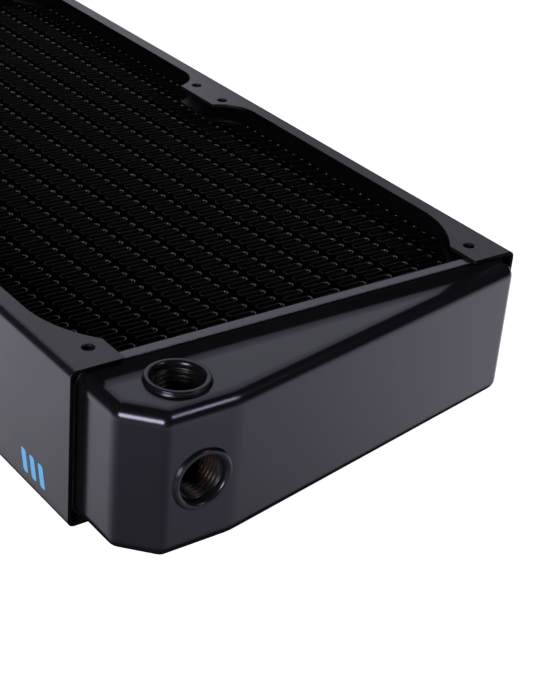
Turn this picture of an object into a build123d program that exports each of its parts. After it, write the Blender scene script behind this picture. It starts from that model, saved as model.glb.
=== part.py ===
from build123d import *
import math
import os

# Liquid cooling radiator for two 140 mm fans, in millimetres.
# X runs across the width, Y along the length, Z up. The origin is the bottom centre.
# The "front" tank is at -Y. The rear tank is the same pressing turned half round about Z.

# Fans that the radiator carries
FAN_PITCH = 140.0
FAN_COUNT = 2
FAN_HOLE_SPACING = 124.5
FAN_SCREW_R = 1.5
SCREW_CHAMFER = 0.3
END_TO_SCREW = 8.5

# Pressed steel side panels: a channel with a flange along the top and the bottom
WIDTH = 144.0
HEIGHT = 45.0
SHEET = 1.0
BEND_R = 2.0
FLANGE = 6.0
EAR = 15.0
END_EAR_STRAIGHT = 10.6
END_EAR_R = 35.0
MID_EAR_ARC_START = 119.5
MID_EAR_R = 12.0
EAR_TIP_R = 0.5

# Screw guards: angle brackets that stop a long fan screw before it meets the core
GUARD_SHEET = 0.8
GUARD_DROP = 5.6
GUARD_END_REACH = 22.0
GUARD_MID_REACH = 16.5

# Header pans: the tube plate with its lip turned outwards round the tank
CORE_WIDTH = 140.0
HEADER_SETBACK = 1.3
HEADER_DEPTH = 3.8
HEADER_SHEET = 0.7
TUBE_PLATE = 1.2
HEADER_BEND_R = 0.9
LIP_EDGE_R = 0.3

# Tanks: a port block at one side that tapers to the other side
TANK_WALL = 1.2
TANK_EDGE_R = 4.0
TANK_REACH = 25.2
TANK_SIDE_REACH = 15.4
TANK_FAR_REACH = 4.3
PORT_FACE_FROM = 60.5
PORT_FACE_TO = 40.0
SIDE_CORNER_R = 4.0
FACE_CORNER_R = 3.0
KINK_R = 14.0

# Threaded G1/4 port bushes
PORT_X = 49.9
PORT_TOP_REACH = 12.3
PORT_BORE_R = 5.72
PORT_MOUTH_R = 6.85
PORT_MOUTH_DEPTH = 1.5
PORT_BODY_R = 7.2
PORT_BEAD_R = 8.3
PORT_BEAD = 1.3
END_PORT_BEAD = 0.8
PORT_BEAD_EDGE_R = 0.5
PORT_DEPTH = 10.0

# Core: flat tubes with a corrugated fin strip on each side of every tube
TUBE_COUNT = 14
TUBE_DEPTH = 28.0
TUBE_THICKNESS = 1.8
TUBE_WALL = 0.35
TUBE_PROUD = 1.0
FIN_LEG_SPACING = 2.19
FIN_SHEET = 0.15

# Clearance that fins and guards keep from the header pans
PAN_GAP = 0.8

# Sizes that follow from those above
LENGTH = FAN_PITCH * (FAN_COUNT - 1) + FAN_HOLE_SPACING + 2 * END_TO_SCREW
HALF_LENGTH = LENGTH / 2
HALF_WIDTH = WIDTH / 2
MID_HEIGHT = HEIGHT / 2
WALL_X = HALF_WIDTH - SHEET
FLANGE_X = HALF_WIDTH - FLANGE
EAR_X = HALF_WIDTH - EAR
HEADER_HEIGHT = HEIGHT - 2 * SHEET
HEADER_FRONT = HALF_LENGTH - HEADER_SETBACK
HEADER_BACK = HEADER_FRONT - HEADER_DEPTH
TANK_RIM = HEADER_BACK + TUBE_PLATE
TANK_HALF_WIDTH = CORE_WIDTH / 2 - HEADER_SHEET
TANK_HEIGHT = HEADER_HEIGHT - 2 * HEADER_SHEET
FIN_COUNT = TUBE_COUNT + 1
FIN_WIDTH = (CORE_WIDTH - TUBE_COUNT * TUBE_THICKNESS) / FIN_COUNT
TUBE_PITCH = FIN_WIDTH + TUBE_THICKNESS
CORE_BOTTOM = MID_HEIGHT - TUBE_DEPTH / 2


def screw_rows():
    """Y of every row of fan screws: the two ends of each fan's screw square."""
    first = -FAN_PITCH * (FAN_COUNT - 1) / 2
    rows = []
    for fan in range(FAN_COUNT):
        centre = first + fan * FAN_PITCH
        rows += [centre - FAN_HOLE_SPACING / 2, centre + FAN_HOLE_SPACING / 2]
    return rows


def ear_outline(inner_x, wall_x):
    """The right-hand flange in plan: an ear at each end and between the fans, the rest narrow."""
    end_centre_x = FLANGE_X - END_EAR_R
    end_drop = math.sqrt(END_EAR_R**2 - (inner_x - end_centre_x) ** 2)
    end_tip = -HALF_LENGTH + END_EAR_STRAIGHT
    end_tangent = end_tip + end_drop
    end_middle = -0.5 * math.asin(end_drop / END_EAR_R)
    mid_centre_x = FLANGE_X - MID_EAR_R
    mid_rise = math.sqrt(MID_EAR_R**2 - (inner_x - mid_centre_x) ** 2)
    mid_tangent = -HALF_LENGTH + MID_EAR_ARC_START
    mid_tip = mid_tangent + mid_rise
    mid_middle = 0.5 * math.asin(mid_rise / MID_EAR_R)
    end_arc_point = (
        end_centre_x + END_EAR_R * math.cos(end_middle),
        end_tangent + END_EAR_R * math.sin(end_middle),
    )
    mid_arc_point = (
        mid_centre_x + MID_EAR_R * math.cos(mid_middle),
        mid_tangent + MID_EAR_R * math.sin(mid_middle),
    )
    with BuildLine() as half:
        Line((wall_x, 0), (wall_x, -HALF_LENGTH))
        Line((wall_x, -HALF_LENGTH), (inner_x, -HALF_LENGTH))
        Line((inner_x, -HALF_LENGTH), (inner_x, end_tip))
        ThreePointArc((inner_x, end_tip), end_arc_point, (FLANGE_X, end_tangent))
        Line((FLANGE_X, end_tangent), (FLANGE_X, mid_tangent))
        ThreePointArc((FLANGE_X, mid_tangent), mid_arc_point, (inner_x, mid_tip))
        Line((inner_x, mid_tip), (inner_x, 0))
        Line((inner_x, 0), (wall_x, 0))
    near_half = make_face(half.line)
    return near_half + mirror(near_half, about=Plane.XZ)


def side_panel():
    """Right-hand side panel: the folded channel, its ears, and chamfered fan screw holes."""
    outside = Pos((EAR_X + HALF_WIDTH) / 2, 0, MID_HEIGHT) * Box(EAR, LENGTH, HEIGHT)
    inside = Pos((EAR_X + WALL_X) / 2, 0, MID_HEIGHT) * Box(
        EAR - SHEET, LENGTH, HEIGHT - 2 * SHEET
    )
    bends = outside.edges().filter_by(Axis.Y).group_by(Axis.X)[-1]
    inner_bends = inside.edges().filter_by(Axis.Y).group_by(Axis.X)[-1]
    channel = fillet(bends, BEND_R) - fillet(inner_bends, BEND_R - SHEET)
    outline = extrude(ear_outline(EAR_X, HALF_WIDTH), HEIGHT)
    panel = channel & outline
    tips = panel.edges().filter_by(Axis.Z).filter_by_position(
        Axis.X, EAR_X - EAR_TIP_R, EAR_X + EAR_TIP_R
    )
    end_tips = [edge for edge in tips if abs(edge.center().Y) > HALF_LENGTH - EAR_TIP_R]
    panel = fillet(end_tips, EAR_TIP_R)
    for y in screw_rows():
        panel -= Pos(FAN_HOLE_SPACING / 2, y, MID_HEIGHT) * Cylinder(FAN_SCREW_R, HEIGHT)
        for side in (1, -1):
            mouth = Cone(
                FAN_SCREW_R, FAN_SCREW_R + SCREW_CHAMFER, SCREW_CHAMFER,
                align=(Align.CENTER, Align.CENTER, Align.MAX),
            )
            if side < 0:
                mouth = Rot(180, 0, 0) * mouth
            height = HEIGHT if side > 0 else 0
            panel -= Pos(FAN_HOLE_SPACING / 2, y, height) * mouth
    return panel


def screw_guard(y_low, y_high):
    """Top right guard: a shelf under the ear, its edge that of the ear, with a leg up the wall."""
    top = HEIGHT - GUARD_DROP
    bend_start = HEIGHT - BEND_R
    span = y_high - y_low
    middle = (y_low + y_high) / 2
    window = Pos((EAR_X + WALL_X) / 2, middle, top - GUARD_SHEET / 2) * Box(
        EAR - SHEET, span, GUARD_SHEET
    )
    outline = Pos(0, 0, top - GUARD_SHEET) * extrude(ear_outline(EAR_X, WALL_X), GUARD_SHEET)
    shelf = window & outline
    leg_height = bend_start - top
    leg = Pos(WALL_X - GUARD_SHEET / 2, middle, top + leg_height / 2) * Box(
        GUARD_SHEET, span, leg_height
    )
    return shelf + leg


def rounded_block(width, height, corner_r, y_from, y_to):
    """A block along Y whose section is a rounded rectangle centred at mid height."""
    section = Plane.XZ * RectangleRounded(width, height, corner_r)
    block = extrude(section, y_to - y_from, dir=(0, 1, 0))
    return Pos(0, y_from, MID_HEIGHT) * block


def tube_section(depth, thickness):
    """Flat tube section in the XZ plane, its long way up."""
    return Plane.XZ * (Rot(0, 0, 90) * SlotOverall(depth, thickness))


def tube_centres():
    """X of every tube, left to right."""
    return [(i - (TUBE_COUNT - 1) / 2) * TUBE_PITCH for i in range(TUBE_COUNT)]


def header_pan():
    """Front header: a tube plate with slots, and the lip that the tank is soldered into."""
    outer_r = TANK_EDGE_R + HEADER_SHEET
    pan = rounded_block(CORE_WIDTH, HEADER_HEIGHT, outer_r, -HEADER_FRONT, -HEADER_BACK)
    pan = fillet(pan.faces().sort_by(Axis.Y)[-1].edges(), HEADER_BEND_R)
    pan = fillet(pan.faces().sort_by(Axis.Y)[0].edges(), LIP_EDGE_R)
    pan -= rounded_block(
        2 * TANK_HALF_WIDTH, TANK_HEIGHT, TANK_EDGE_R, -HEADER_FRONT, -TANK_RIM
    )
    slot = extrude(tube_section(TUBE_DEPTH, TUBE_THICKNESS), HEADER_DEPTH, dir=(0, 1, 0))
    for x in tube_centres():
        pan -= Pos(x, -HEADER_FRONT, MID_HEIGHT) * slot
    return pan


def tank_block(inset, edge_r):
    """The front tank's outer form, or with an inset the hollow inside it."""
    side = TANK_HALF_WIDTH - inset
    reach = -HALF_LENGTH - TANK_REACH + inset
    taper = math.atan2(TANK_REACH - TANK_FAR_REACH, PORT_FACE_TO + TANK_HALF_WIDTH)
    chamfer = math.atan2(TANK_REACH - TANK_SIDE_REACH, TANK_HALF_WIDTH - PORT_FACE_FROM)
    face_from = PORT_FACE_FROM - inset * math.tan(chamfer / 2)
    face_to = PORT_FACE_TO + inset * math.tan(taper / 2)
    side_y = reach + (side - face_from) * math.tan(chamfer)
    far_y = reach + (face_to + side) * math.tan(taper)
    outline = make_face(
        Polyline(
            (-side, -TANK_RIM), (-side, side_y), (-face_from, reach),
            (-face_to, reach), (side, far_y), (side, -TANK_RIM), close=True,
        )
    )
    height = TANK_HEIGHT - 2 * inset
    block = Pos(0, 0, MID_HEIGHT - height / 2) * extrude(outline, height)
    corners = (
        ((-side, side_y), SIDE_CORNER_R),
        ((-face_from, reach), FACE_CORNER_R),
        ((-face_to, reach), KINK_R),
        ((side, far_y), FACE_CORNER_R),
    )
    for (x, y), radius in corners:
        at_corner = Vector(x, y, MID_HEIGHT)
        edge = block.edges().filter_by(Axis.Z).sort_by_distance(at_corner)[0]
        block = fillet(edge, max(radius - inset, edge_r / 2))
    rounded = [
        edge
        for edge in block.edges().filter_by(Axis.Z, reverse=True)
        if edge.center().Y < -TANK_RIM - inset
    ]
    return fillet(rounded, edge_r)


def tank():
    """Front tank: a hollow pressing, open at its rim, with three port holes."""
    shell = tank_block(0, TANK_EDGE_R)
    hollow = tank_block(TANK_WALL, TANK_EDGE_R - TANK_WALL)
    shell -= hollow
    for place in port_places():
        shell -= place * Cylinder(PORT_BODY_R, 2 * PORT_DEPTH)
    return shell


def port_places():
    """The front tank's port mouths, each with its local +Z out of the tank."""
    y = -HALF_LENGTH - PORT_TOP_REACH
    above = Pos(-PORT_X, y, MID_HEIGHT + TANK_HEIGHT / 2)
    below = Pos(-PORT_X, y, MID_HEIGHT - TANK_HEIGHT / 2) * Rot(180, 0, 0)
    ahead = Pos(-PORT_X, -HALF_LENGTH - TANK_REACH, MID_HEIGHT) * Rot(90, 0, 0)
    return [above, below, ahead]


def port_bush(bead):
    """Threaded bush about its own axis, its collar seated on the tank at height 0."""
    profile = make_face(
        Polyline(
            (PORT_BORE_R, -PORT_DEPTH), (PORT_BODY_R, -PORT_DEPTH), (PORT_BODY_R, 0),
            (PORT_BEAD_R, 0), (PORT_BEAD_R, bead), (PORT_MOUTH_R, bead),
            (PORT_BORE_R, PORT_BEAD - PORT_MOUTH_DEPTH), close=True,
        )
    )
    bead_corners = profile.vertices().filter_by_position(
        Axis.Y, bead - PORT_BEAD_EDGE_R / 2, bead + PORT_BEAD_EDGE_R / 2
    )
    profile = fillet(bead_corners, PORT_BEAD_EDGE_R)
    return revolve(Plane.XZ * profile, Axis.Z)


def flat_tube():
    """One flat tube, open at both ends, passing through both tube plates."""
    reach = TANK_RIM + TUBE_PROUD
    outside = extrude(tube_section(TUBE_DEPTH, TUBE_THICKNESS), 2 * reach, dir=(0, 1, 0))
    inside_depth = TUBE_DEPTH - 2 * TUBE_WALL
    inside_thickness = TUBE_THICKNESS - 2 * TUBE_WALL
    inside = extrude(tube_section(inside_depth, inside_thickness), 2 * reach, dir=(0, 1, 0))
    return Pos(0, -reach, MID_HEIGHT) * (outside - inside)


def fin_strip():
    """One corrugated strip: straight legs across the gap, joined by half-round bends."""
    bend_r = FIN_LEG_SPACING / 2
    leg = FIN_WIDTH / 2 - FIN_SHEET / 2 - bend_r
    room = 2 * (HEADER_BACK - PAN_GAP)
    leg_count = int((room - FIN_SHEET) / FIN_LEG_SPACING) + 1
    first = -FIN_LEG_SPACING * (leg_count - 1) / 2
    half_sheet = FIN_SHEET / 2
    near, far = [], []
    for i in range(leg_count):
        y = first + i * FIN_LEG_SPACING
        way = 1 if i % 2 == 0 else -1
        for edges, offset in ((near, -half_sheet), (far, half_sheet)):
            edges.append(Line((-way * leg, y + offset), (way * leg, y + offset)))
        if i == leg_count - 1:
            continue
        for edges, radius in ((near, bend_r + half_sheet), (far, bend_r - half_sheet)):
            edges.append(
                ThreePointArc(
                    (way * leg, y + bend_r - radius),
                    (way * (leg + radius), y + bend_r),
                    (way * leg, y + bend_r + radius),
                )
            )
        half_sheet = -half_sheet
    ends = [
        Line(near[0] @ 0, far[0] @ 0),
        Line(near[-1] @ 1, far[-1] @ 1),
    ]
    outline = make_face(near + far + ends)
    return Pos(0, 0, CORE_BOTTOM) * extrude(outline, TUBE_DEPTH)


def both_sides(part):
    """The part as drawn on the right, and its mirror on the left."""
    return {"right": part, "left": mirror(part, about=Plane.YZ)}


def both_faces(part):
    """The part as drawn at the top, and its mirror at the bottom."""
    middle = Plane.XY.offset(MID_HEIGHT)
    return {"top": part, "bottom": mirror(part, about=middle)}


def both_ends(part):
    """The part as drawn at the front, and the same part turned half round at the rear."""
    return {"front": part, "rear": Rot(0, 0, 180) * part}


def save(part, node):
    """Write one sub-part to its own STEP file."""
    export_step(part, f"parts/{node}.step")


def build():
    """Make every sub-part."""
    os.makedirs("parts", exist_ok=True)
    for side, panel in both_sides(side_panel()).items():
        save(panel, f"side_panel_{side}")
    guard_spans = {
        "front": (-HEADER_BACK + PAN_GAP, -HALF_LENGTH + GUARD_END_REACH),
        "middle": (-GUARD_MID_REACH, GUARD_MID_REACH),
        "rear": (HALF_LENGTH - GUARD_END_REACH, HEADER_BACK - PAN_GAP),
    }
    for place, (y_low, y_high) in guard_spans.items():
        guard = screw_guard(y_low, y_high)
        for face, faced in both_faces(guard).items():
            for side, piece in both_sides(faced).items():
                save(piece, f"screw_guard_{face}_{place}_{side}")
    for end, piece in both_ends(header_pan()).items():
        save(piece, f"header_pan_{end}")
    for end, piece in both_ends(tank()).items():
        save(piece, f"tank_{end}")
    beads = (PORT_BEAD, PORT_BEAD, END_PORT_BEAD)
    for name, place, bead in zip(("top", "bottom", "end"), port_places(), beads):
        for end, piece in both_ends(place * port_bush(bead)).items():
            save(piece, f"port_{name}_{end}")
    tube = flat_tube()
    for number, x in enumerate(tube_centres(), start=1):
        save(Pos(x, 0, 0) * tube, f"tube_{number:02d}")
    strip = fin_strip()
    for number in range(FIN_COUNT):
        x = (number - (FIN_COUNT - 1) / 2) * TUBE_PITCH
        save(Pos(x, 0, 0) * strip, f"fin_strip_{number + 1:02d}")


build()
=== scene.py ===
import math

import bpy
from mathutils import Euler, Matrix, Vector, noise


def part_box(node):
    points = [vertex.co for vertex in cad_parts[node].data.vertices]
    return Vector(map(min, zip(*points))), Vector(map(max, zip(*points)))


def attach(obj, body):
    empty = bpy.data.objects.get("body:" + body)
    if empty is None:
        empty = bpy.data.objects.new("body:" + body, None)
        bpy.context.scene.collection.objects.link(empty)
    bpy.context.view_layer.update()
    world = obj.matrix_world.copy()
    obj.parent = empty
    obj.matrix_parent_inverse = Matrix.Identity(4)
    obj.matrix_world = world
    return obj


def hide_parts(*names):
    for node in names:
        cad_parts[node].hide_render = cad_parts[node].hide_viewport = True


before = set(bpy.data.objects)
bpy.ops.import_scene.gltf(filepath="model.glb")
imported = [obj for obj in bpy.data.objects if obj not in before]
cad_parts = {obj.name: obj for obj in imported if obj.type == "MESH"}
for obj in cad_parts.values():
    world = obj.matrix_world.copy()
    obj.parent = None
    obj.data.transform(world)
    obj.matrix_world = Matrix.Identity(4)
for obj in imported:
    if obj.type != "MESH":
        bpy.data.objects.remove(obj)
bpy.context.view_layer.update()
scene = bpy.context.scene
MM = 0.001
END_SIGN = {"front": -1, "rear": 1}


# ---------------------------------------------------------------- materials
class Surface:
    """One material under construction: its node tree, its shader and its coordinates."""

    def __init__(self, name):
        self.material = bpy.data.materials.new(name)
        self.material.use_nodes = True
        self.tree = self.material.node_tree
        self.shader = self.tree.nodes["Principled BSDF"]
        self.place = self.add("ShaderNodeTexCoord").outputs["Object"]

    def add(self, kind, **settings):
        node = self.tree.nodes.new(kind)
        for key, value in settings.items():
            setattr(node, key, value)
        return node

    def join(self, source, target):
        self.tree.links.new(source, target)

    def noise(self, size, detail=3.0, roughness=0.5):
        """Noise whose features are about size millimetres across."""
        node = self.add("ShaderNodeTexNoise")
        node.inputs["Scale"].default_value = 1 / (size * MM)
        node.inputs["Detail"].default_value = detail
        node.inputs["Roughness"].default_value = roughness
        self.join(self.place, node.inputs["Vector"])
        return node.outputs["Fac"]

    def remap(self, value, low, high, to_low=0.0, to_high=1.0):
        """The value moved in a straight line from one range to another, and held at its ends."""
        node = self.add("ShaderNodeMapRange")
        node.inputs["From Min"].default_value = low
        node.inputs["From Max"].default_value = high
        node.inputs["To Min"].default_value = to_low
        node.inputs["To Max"].default_value = to_high
        self.join(value, node.inputs["Value"])
        return node.outputs["Result"]

    def times(self, a, b):
        node = self.add("ShaderNodeMath", operation="MULTIPLY")
        self.join(a, node.inputs[0])
        self.join(b, node.inputs[1])
        return node.outputs[0]

    def mix(self, factor, a, b):
        """Colour a where the factor is 0 and b where it is 1. Each is a colour or an output."""
        node = self.add("ShaderNodeMix", data_type="RGBA")
        self.join(factor, node.inputs["Factor"])
        for value, socket in ((a, node.inputs[6]), (b, node.inputs[7])):
            if isinstance(value, tuple):
                socket.default_value = (*value, 1)
            else:
                self.join(value, socket)
        return node.outputs[2]

    def soft_edges(self, radius):
        """The surface's normal with its sharp edges rounded to a radius in millimetres."""
        node = self.add("ShaderNodeBevel", samples=6)
        node.inputs["Radius"].default_value = radius * MM
        return node.outputs["Normal"]

    def edge_mask(self, radius):
        """1 along sharp edges, fading to 0 away from them."""
        bevel = self.soft_edges(radius)
        geometry = self.add("ShaderNodeNewGeometry")
        dot = self.add("ShaderNodeVectorMath", operation="DOT_PRODUCT")
        self.join(bevel, dot.inputs[0])
        self.join(geometry.outputs["Normal"], dot.inputs[1])
        return self.remap(dot.outputs["Value"], 0.98, 0.8)

    def along(self, vector, axis):
        """One component of a vector output."""
        parts = self.add("ShaderNodeSeparateXYZ")
        self.join(vector, parts.inputs[0])
        return parts.outputs[axis]

    def magnitude(self, value):
        """The value without its sign."""
        node = self.add("ShaderNodeMath", operation="ABSOLUTE")
        self.join(value, node.inputs[0])
        return node.outputs[0]

    def facing_end(self):
        """1 where the surface faces along Y, either way, and 0 where it doesn't."""
        normal = self.add("ShaderNodeNewGeometry").outputs["Normal"]
        return self.remap(self.magnitude(self.along(normal, "Y")), 0.9, 0.97)

    def facing_inward(self, half_width):
        """1 where a side wall at half_width from the middle faces the object's middle."""
        normal = self.add("ShaderNodeNewGeometry").outputs["Normal"]
        outward = self.times(self.along(normal, "X"), self.along(self.place, "X"))
        return self.remap(outward, -0.6 * half_width * MM, -0.9 * half_width * MM)

    def flare(self, start, reach, slope):
        """Height in metres of a sweep that rises towards the middle of the object's length.

        It starts reach millimetres beyond start and has its full slope at half that distance.
        """
        distance = self.magnitude(self.along(self.place, "Y"))
        rise = self.remap(distance, (start + reach) * MM, (start + reach / 2) * MM)
        ramp = self.remap(distance, (start + reach / 2) * MM, start * MM, 0, slope * reach / 2 * MM)
        curve = self.add("ShaderNodeMath", operation="MULTIPLY_ADD")
        self.join(self.times(rise, rise), curve.inputs[0])
        curve.inputs[1].default_value = slope * reach / 4 * MM
        self.join(ramp, curve.inputs[2])
        return curve.outputs[0]

    def facing_up(self):
        """1 on flat tops and undersides and 0 on walls."""
        normal = self.add("ShaderNodeNewGeometry").outputs["Normal"]
        return self.remap(self.magnitude(self.along(normal, "Z")), 0.6, 0.9)

    def bump(self, height, distance, normal=None):
        """The normal tilted by a height map, whose value 1 is distance millimetres high."""
        node = self.add("ShaderNodeBump")
        node.inputs["Distance"].default_value = distance * MM
        node.inputs["Strength"].default_value = 1.0
        self.join(height, node.inputs["Height"])
        if normal:
            self.join(normal, node.inputs["Normal"])
        return node.outputs["Normal"]


# colour of the paint's reflections
PAINT_TINT = (0.74, 0.72, 1.0, 1)
# painted shade on faces that face along Y, such as the sheet's sawn ends, and on the insides of the
# side walls: colour, reflection, roughness
PAINTED_SHADE_COLOUR = (0.002, 0.002, 0.0025)
PAINTED_SHADE_TINT = (0.04, 0.04, 0.05)
PAINTED_SHADE_ROUGHNESS = (0.8, 0.8, 0.8)
# where the insides of the side walls are, from the middle
PANEL_HALF_WIDTH = 71.0
# how far worn paint reaches from an edge, in edge radii, and the grain's size in peel sizes
WEAR_REACH = 1.6
GRAIN_SHARE = 0.28
# the tank's shallow sweep beside its header pan: distance from the middle, width, slope
TANK_FLARE = (139.5, 9.0, 0.66)


def paint(
    name, colour, worn, rough, peel_size, peel, edge_r, gloss, grain=0.0, painted_shade_ends=False,
    flare=None,
):
    """Black paint: orange peel, patchy roughness, a little dust and thinner paint on the edges.

    Lengths are in millimetres: peel_size across the orange peel and peel its depth, edge_r the
    rounding of sharp edges, grain the depth of a finer texture. With painted_shade_ends, faces
    that face along Y, such as the sheet's sawn ends, and the insides of the side walls get
    painted shade: they are darker and matt. A flare is what Surface.flare takes.
    """
    s = Surface(name)
    dust = s.remap(s.noise(14, detail=5, roughness=0.62), 0.42, 0.72, to_high=0.35)
    dusty = tuple(c * 1.5 + 0.001 for c in colour)
    edges = s.edge_mask(edge_r * WEAR_REACH)
    wear = s.times(edges, s.remap(s.noise(2.2, detail=4, roughness=0.6), 0.3, 0.65))
    colours = s.mix(wear, s.mix(dust, colour, dusty), worn)
    patches = s.remap(s.noise(22, detail=4, roughness=0.55), 0.3, 0.7, rough - 0.025, rough + 0.03)
    s.shader.inputs["Specular IOR Level"].default_value = gloss
    s.shader.inputs["Specular Tint"].default_value = PAINT_TINT
    # painted shade: faces along Y and the insides of the side walls get a darker, matt colour and a
    # dimmer reflection
    if painted_shade_ends:
        larger = s.add("ShaderNodeMath", operation="MAXIMUM")
        s.join(s.facing_end(), larger.inputs[0])
        s.join(s.facing_inward(PANEL_HALF_WIDTH), larger.inputs[1])
        painted_shade_mask = larger.outputs[0]
        colours = s.mix(painted_shade_mask, colours, PAINTED_SHADE_COLOUR)
        s.join(s.mix(painted_shade_mask, PAINT_TINT[:3], PAINTED_SHADE_TINT), s.shader.inputs["Specular Tint"])
        patches = s.mix(painted_shade_mask, patches, PAINTED_SHADE_ROUGHNESS)
    s.join(colours, s.shader.inputs["Base Color"])
    s.join(patches, s.shader.inputs["Roughness"])
    waves = s.noise(peel_size, detail=2.5, roughness=0.5)
    normal = s.bump(waves, peel, normal=s.soft_edges(edge_r))
    if flare:
        # the flare's height is in metres, so its value 1 is a metre high
        normal = s.bump(s.flare(*flare), 1 / MM, normal=normal)
        s.join(s.facing_up(), normal.node.inputs["Strength"])
    if grain:
        specks = s.noise(peel_size * GRAIN_SHARE, detail=2, roughness=0.5)
        normal = s.bump(specks, grain, normal=normal)
    s.join(normal, s.shader.inputs["Normal"])
    return s.material


panel_paint = paint(
    "panel_paint", (0.0080, 0.0078, 0.0098), (0.02, 0.02, 0.023),
    rough=0.30, peel_size=1.1, peel=0.012, edge_r=0.34, gloss=0.49, grain=0.003, painted_shade_ends=True,
)
# a darker, duller copy of the black paint: painted shade on the screw guards under the flanges
shaded_guard_paint = paint(
    "shaded_guard_paint", (0.004, 0.004, 0.0048), (0.01, 0.01, 0.012),
    rough=0.45, peel_size=1.1, peel=0.012, edge_r=0.2, gloss=0.2, painted_shade_ends=True,
)
# a lighter, glossier copy of the black paint that stands in for the lit header strip; its light
# edge colour is partly worn paint and partly painted highlight
lit_header_paint = paint(
    "lit_header_paint", (0.0260, 0.0254, 0.0310), (0.10, 0.098, 0.112),
    rough=0.26, peel_size=1.8, peel=0.012, edge_r=0.4, gloss=1.0, painted_shade_ends=True,
)
tank_paint = paint(
    "tank_paint", (0.0045, 0.0044, 0.0056), (0.013, 0.013, 0.015),
    rough=0.20, peel_size=2.4, peel=0.012, edge_r=0.35, gloss=0.58, flare=TANK_FLARE,
)
# a darker, duller copy of the black paint: painted shade in the joint between each tank and its
# header pan
shaded_seam_paint = paint(
    "shaded_seam_paint", (0.0020, 0.0020, 0.0024), (0.004, 0.004, 0.0045),
    rough=0.5, peel_size=1.2, peel=0.02, edge_r=0.1, gloss=0.06,
)
bush_paint = paint(
    "bush_paint", (0.0050, 0.0048, 0.0062), (0.014, 0.014, 0.016),
    rough=0.24, peel_size=2.0, peel=0.008, edge_r=0.1, gloss=0.47,
)
# a near-black, matt copy of the black paint: painted shade on the tubes deep between the fins,
# which hides their highlights
shaded_tube_paint = paint(
    "shaded_tube_paint", (0.0010, 0.0010, 0.0012), (0.002, 0.002, 0.0023),
    rough=0.8, peel_size=0.9, peel=0.02, edge_r=0.1, gloss=0.0,
)


def fin_coat(name, dark, pale, rough, gloss):
    """Thin black paint on the fins, uneven from wave to wave."""
    s = Surface(name)
    spots = s.noise(2.5, detail=4, roughness=0.6)
    s.join(s.mix(spots, dark, pale), s.shader.inputs["Base Color"])
    patches = s.remap(s.noise(3.5, detail=3), 0.3, 0.7, rough - 0.05, rough + 0.06)
    s.join(patches, s.shader.inputs["Roughness"])
    s.shader.inputs["Specular IOR Level"].default_value = gloss
    s.join(s.bump(s.noise(0.5, detail=3), 0.006), s.shader.inputs["Normal"])
    return s.material


# the depths in a port at which the overspray starts to thin out and has gone
OVERSPRAY = (2.8, 5.0)


def thread_copper():
    """Bare reddish metal in the threads, with dark overspray that thins out with depth."""
    s = Surface("thread_copper")
    spots = s.noise(1.6, detail=4, roughness=0.6)
    tone = s.mix(spots, (0.045, 0.018, 0.014), (0.110, 0.045, 0.034))
    start, end = OVERSPRAY
    depth = s.remap(s.along(s.place, "Z"), -start * MM, -end * MM)
    bare = s.times(depth, s.remap(s.noise(3.6, detail=5, roughness=0.6), 0.44, 0.62))
    s.join(s.mix(bare, (0.003, 0.003, 0.0036), tone), s.shader.inputs["Base Color"])
    s.join(s.remap(bare, 0, 1, to_high=0.85), s.shader.inputs["Metallic"])
    patches = s.remap(s.noise(2.0, detail=4, roughness=0.6), 0.3, 0.7, 0.26, 0.42)
    s.join(patches, s.shader.inputs["Roughness"])
    s.shader.inputs["Specular IOR Level"].default_value = 0.4
    s.join(s.bump(s.noise(0.5, detail=3), 0.01), s.shader.inputs["Normal"])
    return s.material


def print_ink():
    """Light blue ink, a little uneven, with the paint's own texture under it."""
    s = Surface("print_ink")
    spots = s.noise(1.4, detail=4, roughness=0.6)
    tone = s.mix(spots, (0.070, 0.31, 0.62), (0.095, 0.38, 0.70))
    s.join(tone, s.shader.inputs["Base Color"])
    s.join(s.remap(s.noise(5, detail=3), 0.3, 0.7, 0.38, 0.5), s.shader.inputs["Roughness"])
    s.shader.inputs["Specular IOR Level"].default_value = 0.35
    s.join(s.bump(s.noise(1.1, detail=2.5), 0.012), s.shader.inputs["Normal"])
    return s.material


# ---------------------------------------------------------------- pieces
def mesh_piece(name, points, faces, materials, face_materials=None):
    """A new smooth-shaded piece. Points are in millimetres."""
    mesh = bpy.data.meshes.new(name)
    mesh.from_pydata([tuple(c * MM for c in p) for p in points], [], faces)
    for material in materials:
        mesh.materials.append(material)
    if face_materials:
        mesh.polygons.foreach_set("material_index", face_materials)
    mesh.polygons.foreach_set("use_smooth", [True] * len(faces))
    mesh.validate()
    mesh.update()
    piece = bpy.data.objects.new(name, mesh)
    scene.collection.objects.link(piece)
    return piece


def grid_faces(rows, columns, close_rows=False, close_columns=True):
    """Quads of a grid whose point (row, column) has the index row * columns + column."""
    faces = []
    for r in range(rows if close_rows else rows - 1):
        for c in range(columns if close_columns else columns - 1):
            r2, c2 = (r + 1) % rows, (c + 1) % columns
            faces.append(
                (r * columns + c, r * columns + c2, r2 * columns + c2, r2 * columns + c)
            )
    return faces


# ports: a threaded bush with a rolled bead, its mouth at local z = 0 and its axis along +z.
# These lengths and the ones below are in millimetres
BUSH_BODY_R = 7.2
BUSH_DEPTH = 10.0
BEAD_R = 8.3
BEAD_ROUND = 0.5
BEAD_FLAT_R = 7.4
# the bead's small foot: how far it spreads, and its top's place out from the bead and up
BEAD_FOOT = 0.3
BEAD_FOOT_TOP = (0.06, 0.12)
NECK_R = 6.5
NECK_DEPTH = 1.35
# the wall between the mouth and the thread: (inward, down) from the mouth's lower edge
NECK_WALL = ((0, 0.15), (0.02, 0.4))
THREAD_MAJOR_R = 6.48
THREAD_MINOR_R = 5.72
THREAD_PITCH = 1.337
THREAD_START = 2.0
THREAD_END = 10.4
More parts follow.
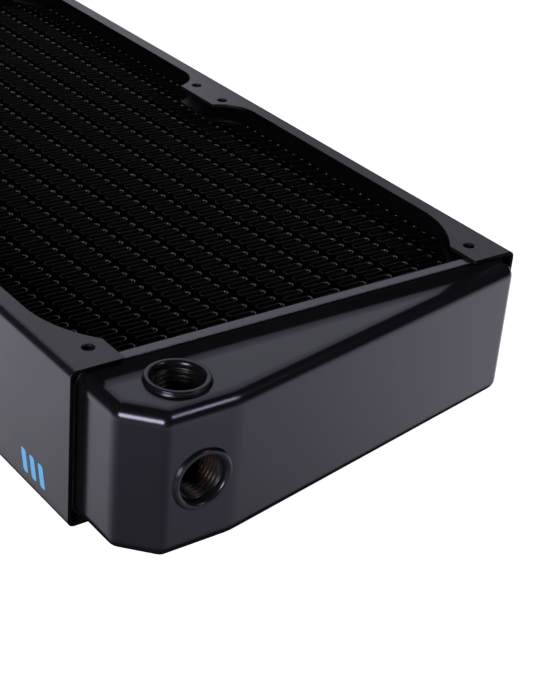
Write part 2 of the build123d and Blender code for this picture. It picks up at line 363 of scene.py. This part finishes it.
# the depth over which the thread's turns grow, and the flat share of a flank at either end
THREAD_RUN_IN = 0.6
THREAD_FLAT = 0.12
# how far past the minor radius the hole opens at the bush's bottom
BOTTOM_RELIEF = 0.3
BUSH_SIDES = 144
BEAD_STEPS = 8
MOUTH_STEPS = 12
THREAD_ROW = 0.095
BUSH_PAINT, BUSH_COPPER = 0, 1


def bush_profile(bead):
    """(radius, height, thread depth share) up the outside, over the bead and down the bore.

    The bead stands bead millimetres off the tank, on a small foot of paint.
    """
    bottom = -BUSH_DEPTH - bead
    foot_out, foot_up = BEAD_FOOT_TOP
    rows = [(BUSH_BODY_R, bottom, 0), (BUSH_BODY_R, -bead, 0)]
    rows += [(BEAD_R + BEAD_FOOT, -bead, 0), (BEAD_R + foot_out, -bead + foot_up, 0)]
    for i in range(BEAD_STEPS + 1):
        a = math.pi / 2 * i / BEAD_STEPS
        rows.append((
            BEAD_R - BEAD_ROUND * (1 - math.cos(a)), -BEAD_ROUND * (1 - math.sin(a)), 0,
        ))
    for i in range(MOUTH_STEPS + 1):
        a = math.pi / 2 * i / MOUTH_STEPS
        radius = BEAD_FLAT_R - (BEAD_FLAT_R - NECK_R) * math.sin(a)
        rows.append((radius, -NECK_DEPTH * (1 - math.cos(a)), 0))
    rows += [(NECK_R - inward, -NECK_DEPTH - down, 0) for inward, down in NECK_WALL]
    count = int((THREAD_END - THREAD_START) / THREAD_ROW)
    for i in range(count + 1):
        depth = THREAD_START + (THREAD_END - THREAD_START) * i / count
        rows.append((THREAD_MAJOR_R, -depth, min(1, (depth - THREAD_START) / THREAD_RUN_IN)))
    rows += [(THREAD_MINOR_R + BOTTOM_RELIEF, bottom, 0)]
    return rows


def port_bush_mesh(bead):
    """Points, faces and the material of each face of a bush."""
    rows = bush_profile(bead)
    points = []
    for radius, height, share in rows:
        for k in range(BUSH_SIDES):
            angle = 2 * math.pi * k / BUSH_SIDES
            r = radius
            if share:
                turn = (height / THREAD_PITCH + k / BUSH_SIDES) % 1
                ridge = 1 - abs(2 * turn - 1)
                ridge = min(1, max(0, (ridge - THREAD_FLAT) / (1 - 2 * THREAD_FLAT)))
                r -= share * ridge * (THREAD_MAJOR_R - THREAD_MINOR_R)
            points.append((r * math.cos(angle), r * math.sin(angle), height))
    faces = grid_faces(len(rows), BUSH_SIDES, close_rows=True)
    # the copper starts two rings above the first turned one, at the neck wall's lower edge
    first_copper = next(i for i, row in enumerate(rows) if row[2]) - 2
    kinds = [
        BUSH_COPPER if i // BUSH_SIDES >= first_copper else BUSH_PAINT for i in range(len(faces))
    ]
    return points, faces, kinds


def add_ports():
    """Replace every CAD port with a threaded bush."""
    copper = thread_copper()
    for end, sign in END_SIGN.items():
        for face in ("top", "bottom", "end"):
            node = f"port_{face}_{end}"
            low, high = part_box(node)
            length = (high.y - low.y if face == "end" else high.z - low.z) / MM
            points, faces, kinds = port_bush_mesh(length - BUSH_DEPTH)
            middle = (low + high) / 2
            if face == "top":
                place = Matrix.Translation((middle.x, middle.y, high.z))
            elif face == "bottom":
                place = Matrix.Translation((middle.x, middle.y, low.z))
                place @= Matrix.Rotation(math.pi, 4, "X")
            else:
                mouth = low.y if sign < 0 else high.y
                place = Matrix.Translation((middle.x, mouth, middle.z))
                place @= Matrix.Rotation(-sign * math.pi / 2, 4, "X")
            bush = mesh_piece(f"threaded_{node}", points, faces, [bush_paint, copper], kinds)
            bush.matrix_world = place
            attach(bush, "root")
            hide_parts(node)


# the solder fillet between each tank and the lip of its header pan
SEAM_LEG_LIP = 0.6
SEAM_LEG_TANK = 1.4
SEAM_STEPS = 7
SEAM_PITCH = 2.5
SEAM_OVERLAP = 0.03
# how much its size varies, and how fast along the seam
SEAM_SWELL = 0.12
SEAM_SWELL_RATE = 0.11
TANK_EDGE_R = 4.0
CORNER_STEPS = 8


def rounded_loop(half_x, half_z, radius, pitch):
    """Points and outward normals round a rounded rectangle in the XZ plane."""
    loop = []
    corners = (
        (half_x - radius, half_z - radius, 0), (radius - half_x, half_z - radius, 90),
        (radius - half_x, radius - half_z, 180), (half_x - radius, radius - half_z, 270),
    )
    for i, (cx, cz, start) in enumerate(corners):
        for step in range(CORNER_STEPS + 1):
            a = math.radians(start + 90 * step / CORNER_STEPS)
            normal = (math.cos(a), math.sin(a))
            loop.append((cx + radius * normal[0], cz + radius * normal[1], *normal))
        nx, nz, next_start = corners[(i + 1) % 4]
        a = math.radians(next_start)
        normal = (math.cos(a), math.sin(a))
        x0, z0 = loop[-1][:2]
        x1, z1 = nx + radius * normal[0], nz + radius * normal[1]
        count = max(2, round(math.hypot(x1 - x0, z1 - z0) / pitch))
        for step in range(1, count):
            t = step / count
            loop.append((x0 + (x1 - x0) * t, z0 + (z1 - z0) * t, *normal))
    return loop


def add_seams():
    """A loop of solder round each tank where it meets its header pan."""
    for end, sign in END_SIGN.items():
        tank_low, tank_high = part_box(f"tank_{end}")
        pan_low, pan_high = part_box(f"header_pan_{end}")
        lip_y = (pan_low.y if sign < 0 else pan_high.y) / MM
        half_x = (tank_high.x - tank_low.x) / 2 / MM
        half_z = (tank_high.z - tank_low.z) / 2 / MM
        middle_z = (tank_high.z + tank_low.z) / 2 / MM
        loop = rounded_loop(half_x, half_z, TANK_EDGE_R, SEAM_PITCH)
        points = []
        for x, z, nx, nz in loop:
            # the middle coordinate keeps the two seams unlike each other
            spot = Vector((x * SEAM_SWELL_RATE, sign * 7, z * SEAM_SWELL_RATE))
            swell = 1 + SEAM_SWELL * noise.noise(spot)
            for step in range(SEAM_STEPS + 1):
                a = math.pi / 2 * step / SEAM_STEPS
                out = SEAM_LEG_LIP * swell * (1 - math.sin(a)) - SEAM_OVERLAP
                along = SEAM_LEG_TANK * swell * (1 - math.cos(a)) - SEAM_OVERLAP
                points.append((x + nx * out, lip_y + sign * along, middle_z + z + nz * out))
            inner_x, inner_z = x - nx * SEAM_OVERLAP, z - nz * SEAM_OVERLAP
            points.append((inner_x, lip_y - sign * SEAM_OVERLAP, middle_z + inner_z))
        columns = SEAM_STEPS + 2
        faces = grid_faces(len(loop), columns, close_rows=True)
        seam = mesh_piece(f"solder_seam_{end}", points, faces, [shaded_seam_paint])
        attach(seam, "root")


# corrugated fins: thin sheet folded in waves, its rims rounded by paint, which has gathered in
# the bends on the right
FIN_LEG_PITCH = 2.19
FIN_HALF_SHEET = 0.055
FIN_UNEVEN = 0.13
FIN_END_GAP = 0.1
FIN_BEND_STEPS = 8
# the rim's half width on the legs and at the middle of a swollen bend, and how fast it grows
FIN_LEG_RIM = 0.075
FIN_BEND_RIM = 0.34
FIN_SWELL_POWER = 0.6
FIN_RIM_DEPTH = 0.5
# the rim's outline in half widths: how deep it is widest, and its shoulder's place
FIN_RIM_WIDEST = 1.3
FIN_RIM_SHOULDER = (0.75, 0.35)
FIN_RIM_FACES = 6
# a rim gets the lighter, glossier bend paint, a painted highlight, where the bend is stronger than
# this
FIN_GLOSSY_BEND = 0.3
FIN_SHADED_SHEET_PAINT, FIN_RIM_PAINT, FIN_LIT_BEND_PAINT = 0, 1, 2


def fin_line(half_width, y_low, y_high, seed):
    """The folded sheet's middle line in plan: (x, y, normal x, normal y, bend, way).

    The normal stays on one side of the sheet, which is the inner side of the bends on the
    right. Bend is 1 at the middle of a bend and 0 on the legs, and way is 1 for a bend on the
    right and -1 for one on the left.
    """
    bend_r = FIN_LEG_PITCH / 2
    leg = half_width - FIN_HALF_SHEET - bend_r
    count = int((y_high - y_low) / FIN_LEG_PITCH) + 1
    first = (y_low + y_high - FIN_LEG_PITCH * (count - 1)) / 2

    def leg_end(i, side):
        # the factors keep neighbouring legs, sides and strips unlike each other
        shift = noise.noise(Vector((i * 0.83, side * 5.1, seed * 3.7)))
        return first + i * FIN_LEG_PITCH + FIN_UNEVEN * shift

    line = [(-leg, leg_end(0, -1), 0, 1, 0, 1)]
    for i in range(count - 1):
        way = 1 if i % 2 == 0 else -1
        y1, y2 = leg_end(i, way), leg_end(i + 1, way)
        for step in range(FIN_BEND_STEPS + 1):
            a = math.pi * (step / FIN_BEND_STEPS - 0.5)
            x = way * (leg + bend_r * math.cos(a))
            y = (y1 + y2) / 2 + (y2 - y1) / 2 * math.sin(a)
            line.append((x, y, -math.cos(a), -way * math.sin(a), math.cos(a), way))
    way = 1 if count % 2 else -1
    line.append((way * leg, leg_end(count - 1, way), 0, way, 0, 1))
    return line


def fin_section(rim_out, rim_in, height):
    """(offset, height) pairs round the sheet's section, its rims swollen by paint.

    rim_in is the rim's half width on the side of the normal, rim_out on the other side.
    """
    across, down = FIN_RIM_SHOULDER
    rim = []
    for side, r in ((-1, rim_out), (1, rim_in)):
        half = [(side * FIN_HALF_SHEET, -FIN_RIM_DEPTH)]
        half += [(side * r, -FIN_RIM_WIDEST * r), (side * across * r, -down * r)]
        rim += half if side < 0 else [(0, 0)] + half[::-1]
    below = [(u, -height - v) for u, v in reversed(rim)]
    return rim + below


def fin_mesh(node, seed):
    """Points, faces and the material of each face of a strip that fills a CAD strip's box."""
    low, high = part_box(node)
    middle_x = (low.x + high.x) / 2 / MM
    half_width = (high.x - low.x) / 2 / MM
    top, height = high.z / MM, (high.z - low.z) / MM
    line = fin_line(half_width, low.y / MM + FIN_END_GAP, high.y / MM - FIN_END_GAP, seed)
    points = []
    for x, y, nx, ny, bend, way in line:
        growth = bend**FIN_SWELL_POWER * max(0, way)
        swollen = FIN_LEG_RIM + (FIN_BEND_RIM - FIN_LEG_RIM) * growth
        section = fin_section(FIN_LEG_RIM, swollen, height)
        points += [(middle_x + x + nx * u, y + ny * u, top + v) for u, v in section]
    columns = len(section)
    faces = grid_faces(len(line), columns)
    kinds = []
    for i in range(len(faces)):
        row, column = divmod(i, columns)
        bend, way = line[row][4:]
        if column % (columns // 2) >= FIN_RIM_FACES:
            kinds.append(FIN_SHADED_SHEET_PAINT)
        else:
            # the lighter, glossier bend paint on the bends to the right is a painted highlight
            kinds.append(FIN_LIT_BEND_PAINT if bend * way > FIN_GLOSSY_BEND else FIN_RIM_PAINT)
    faces += [tuple(reversed(range(columns))), tuple(range(len(points) - columns, len(points)))]
    kinds += [FIN_SHADED_SHEET_PAINT, FIN_SHADED_SHEET_PAINT]
    return points, faces, kinds


def add_fins():
    """Replace every CAD fin strip with a folded one."""
    # three copies of the fin paint: the darker, matt one on the sheet is painted shade in the
    # channels, and the lighter, glossier one on the bends to the right is painted highlight
    sheet = fin_coat(
        "fin_shaded_sheet_paint", (0.0022, 0.0022, 0.0026), (0.0045, 0.0045, 0.0055), rough=0.6, gloss=0.07,
    )
    rim = fin_coat(
        "fin_rim_paint", (0.003, 0.003, 0.004), (0.006, 0.006, 0.007), rough=0.35, gloss=0.28,
    )
    bend = fin_coat(
        "fin_lit_bend_paint", (0.006, 0.006, 0.007), (0.012, 0.012, 0.014), rough=0.26, gloss=0.85,
    )
    strips = sorted(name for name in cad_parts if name.startswith("fin_strip_"))
    for number, node in enumerate(strips, start=1):
        points, faces, kinds = fin_mesh(node, number)
        fins = mesh_piece(f"corrugated_fins_{number:02d}", points, faces, [sheet, rim, bend], kinds)
        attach(fins, "root")
        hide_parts(node)


# the generic printed mark: three slanted bars on the left panel
MARK_FROM_END = 11.5
MARK_BARS = 3
MARK_PITCH = 4.4
MARK_BAR = (2.4, 6.4)
MARK_SLANT = 1.6
MARK_BASE = 4.4
MARK_PROUD = 0.02
MARK_ROUND = 0.7
MARK_ARC_STEPS = 6


def add_mark():
    """Print the mark on the left panel, near its front end."""
    low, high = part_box("side_panel_left")
    wall_x = low.x / MM - MARK_PROUD
    start_y = low.y / MM + MARK_FROM_END
    points, faces = [], []
    for bar in range(MARK_BARS):
        y0 = start_y + bar * MARK_PITCH
        width, height = MARK_BAR
        outline = []
        right, top = width - MARK_ROUND, height - MARK_ROUND
        for cy, cz, first in (
            (right, top, 0), (MARK_ROUND, top, 90), (MARK_ROUND, MARK_ROUND, 180),
            (right, MARK_ROUND, 270),
        ):
            for step in range(MARK_ARC_STEPS + 1):
                a = math.radians(first + 90 * step / MARK_ARC_STEPS)
                y, z = cy + MARK_ROUND * math.cos(a), cz + MARK_ROUND * math.sin(a)
                outline.append((y0 + y + MARK_SLANT * z / height, MARK_BASE + z))
        base = len(points)
        count = len(outline)
        points += [(wall_x, y, z) for y, z in outline]
        points += [(wall_x + 2 * MARK_PROUD, y, z) for y, z in outline]
        faces.append(tuple(base + i for i in range(count)))
        faces.append(tuple(base + count + i for i in reversed(range(count))))
        for i in range(count):
            j = (i + 1) % count
            faces.append((base + i, base + count + i, base + count + j, base + j))
    mark = mesh_piece("printed_mark", points, faces, [print_ink()])
    mark.data.polygons.foreach_set("use_smooth", [False] * len(faces))
    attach(mark, "root")


def paint_nodes():
    """Give every CAD node its paint, also the ones that new pieces replace."""
    looks = {
        "side_panel": panel_paint, "screw_guard": shaded_guard_paint, "header_pan": lit_header_paint,
        "tank": tank_paint, "tube": shaded_tube_paint, "fin_strip": shaded_tube_paint, "port": bush_paint,
    }
    for name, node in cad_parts.items():
        look = next(m for prefix, m in looks.items() if name.startswith(prefix))
        if not node.data.materials:
            node.data.materials.append(look)
        for slot in node.material_slots:
            slot.material = look


# ---------------------------------------------------------------- studio
# the front half of the painted shadow's outline, a dark patch 1 to 4 mm outside the object's foot
SHADE_OUTLINE = (
    (-73.2, -142), (-71.5, -157), (-62, -169.8), (-39.5, -169.2), (70.5, -146.6), (73.2, -142),
)
SHADE_HEIGHT = -0.25
FLOOR_HEIGHT = -0.3
FLOOR_HALF = 20000
# name, direction, distance (m), size (m), radiance and colour of each softbox
SOFTBOXES = (
    ("key_left", (-0.80, -0.47, 0.28), 1.8, (0.7, 0.56), 17.0, (1.0, 0.99, 0.99)),
    ("fill_right", (0.45, -0.66, 0.60), 1.8, (0.42, 0.4), 7.0, (0.95, 0.95, 1.0)),
    ("backdrop", (0.41, 0.55, 0.75), 2.2, (2.3, 2.1), 0.70, (0.93, 0.93, 1.0)),
    ("backdrop_low", (0.363, 0.90, 0.242), 2.2, (1.25, 0.75), 0.72, (0.93, 0.93, 1.0)),
)
# the camera, fitted to the photograph's edges and screw holes: metres and degrees
CAMERA_LENS = 82.91
CAMERA_PLACE = (-0.2378, -0.42505, 0.2389)
CAMERA_TILT = 60.724
CAMERA_TURN = -38.740
CAMERA_ROLL = 5.259


def add_floor():
    """A wide pale paper floor, which reflections don't see."""
    s = Surface("floor_paper")
    clouds = s.noise(60, detail=4, roughness=0.6)
    tone = s.mix(clouds, (0.86, 0.865, 0.88), (0.89, 0.895, 0.91))
    s.join(tone, s.shader.inputs["Base Color"])
    s.shader.inputs["Roughness"].default_value = 0.9
    s.shader.inputs["Specular IOR Level"].default_value = 0.1
    s.shader.inputs["Emission Color"].default_value = (0.97, 0.98, 1.0, 1)
    s.shader.inputs["Emission Strength"].default_value = 0.9
    corners = [
        (x * FLOOR_HALF, y * FLOOR_HALF, FLOOR_HEIGHT)
        for x, y in ((-1, -1), (1, -1), (1, 1), (-1, 1))
    ]
    floor = mesh_piece("floor", corners, [(0, 1, 2, 3)], [s.material])
    floor.visible_glossy = False


def add_shade():
    """A painted shadow round the object: a dark patch on the floor, which only the object's own
    reflections see.
    """
    s = Surface("floor_shade")
    tone = s.mix(s.noise(30, detail=3), (0.004, 0.004, 0.005), (0.007, 0.007, 0.008))
    s.join(tone, s.shader.inputs["Base Color"])
    s.shader.inputs["Roughness"].default_value = 1.0
    s.shader.inputs["Specular IOR Level"].default_value = 0.0
    half = [(x, y, SHADE_HEIGHT) for x, y in SHADE_OUTLINE]
    outline = half + [(-x, -y, z) for x, y, z in half]
    shade = mesh_piece("floor_shade", outline, [tuple(range(len(outline)))], [s.material])
    shade.visible_camera = False
    shade.visible_diffuse = False
    shade.visible_shadow = False


def softbox(name, direction, distance, size, radiance, colour):
    """A rectangular light that faces the object and isn't itself in view."""
    data = bpy.data.lights.new(name, "AREA")
    data.shape = "RECTANGLE"
    data.size, data.size_y = size
    data.color = colour
    data.energy = radiance * math.pi * size[0] * size[1]
    lamp = bpy.data.objects.new(name, data)
    scene.collection.objects.link(lamp)
    way = Vector(direction).normalized()
    lamp.location = way * distance
    lamp.rotation_euler = way.to_track_quat("Z", "Y").to_euler()
    lamp.visible_camera = False


# brightness of the surroundings by the height of the direction, -1 straight down to 1 up
AIR_BY_HEIGHT = (
    (-1.0, 0.2), (-0.64, 0.36), (-0.585, 0.52), (-0.54, 0.80), (-0.50, 1.0), (-0.38, 1.15),
    (-0.26, 1.05), (-0.02, 0.025), (1.0, 0.012),
)
# and by its bearing in degrees, 0 along -Y and 90 along +X
AIR_BY_BEARING = (
    (-180, 1.15), (-145, 1.3), (-115, 1.4), (-85, 0.7), (-58, 0.42), (-10, 0.5), (39, 0.87),
    (60, 0.86), (80, 1.4), (130, 1.5), (180, 1.15),
)
AIR_TINT = (0.94, 0.935, 1.0)


def fill_ramp(ramp, stops, tint=(1, 1, 1)):
    """Set a colour ramp's stops from (position, level) pairs."""
    elements = ramp.color_ramp.elements
    while len(elements) < len(stops):
        elements.new(0.5)
    for element, (position, level) in zip(elements, stops):
        element.position = position
        element.color = (*(level * c for c in tint), 1)


def add_air():
    """What the glossy paint mirrors: a pale table below the horizon and a dark room above it."""
    world = bpy.data.worlds.new("studio_air")
    scene.world = world
    world.use_nodes = True
    tree = world.node_tree
    air = tree.nodes["Background"]

    def add(kind, **settings):
        node = tree.nodes.new(kind)
        for key, value in settings.items():
            setattr(node, key, value)
        return node

    def math_node(operation, *values):
        node = add("ShaderNodeMath", operation=operation)
        for socket, value in zip(node.inputs, values):
            if isinstance(value, (int, float)):
                socket.default_value = value
            else:
                tree.links.new(value, socket)
        return node.outputs[0]

    way = add("ShaderNodeSeparateXYZ")
    tree.links.new(add("ShaderNodeTexCoord").outputs["Generated"], way.inputs[0])
    x, y, z = way.outputs
    heights = add("ShaderNodeValToRGB")
    tree.links.new(math_node("MULTIPLY_ADD", z, 0.5, 0.5), heights.inputs["Fac"])
    fill_ramp(heights, [((h + 1) / 2, level) for h, level in AIR_BY_HEIGHT], AIR_TINT)
    bearing = math_node("ARCTAN2", x, math_node("MULTIPLY", y, -1))
    turn = math_node("MULTIPLY_ADD", bearing, 1 / (2 * math.pi), 0.5)
    bearings = add("ShaderNodeValToRGB")
    tree.links.new(turn, bearings.inputs["Fac"])
    fill_ramp(bearings, [(b / 360 + 0.5, level) for b, level in AIR_BY_BEARING])
    tree.links.new(heights.outputs["Color"], air.inputs["Color"])
    tree.links.new(bearings.outputs["Color"], air.inputs["Strength"])


def add_studio():
    """Floor, lights and surroundings."""
    add_floor()
    add_shade()
    for box in SOFTBOXES:
        softbox(*box)
    add_air()
    scene.view_settings.view_transform = "Standard"
    scene.view_settings.look = "None"


def add_camera():
    """The photograph's viewpoint."""
    data = bpy.data.cameras.new("camera")
    data.lens = CAMERA_LENS
    data.sensor_width = 36
    data.clip_start = 0.01
    camera = bpy.data.objects.new("camera", data)
    scene.collection.objects.link(camera)
    aim = Euler((math.radians(CAMERA_TILT), 0, math.radians(CAMERA_TURN))).to_matrix()
    roll = Matrix.Rotation(math.radians(CAMERA_ROLL), 3, "Z")
    camera.matrix_world = Matrix.Translation(CAMERA_PLACE) @ (aim @ roll).to_4x4()
    scene.camera = camera


add_camera()
add_studio()
paint_nodes()
add_ports()
add_seams()
add_fins()
add_mark()
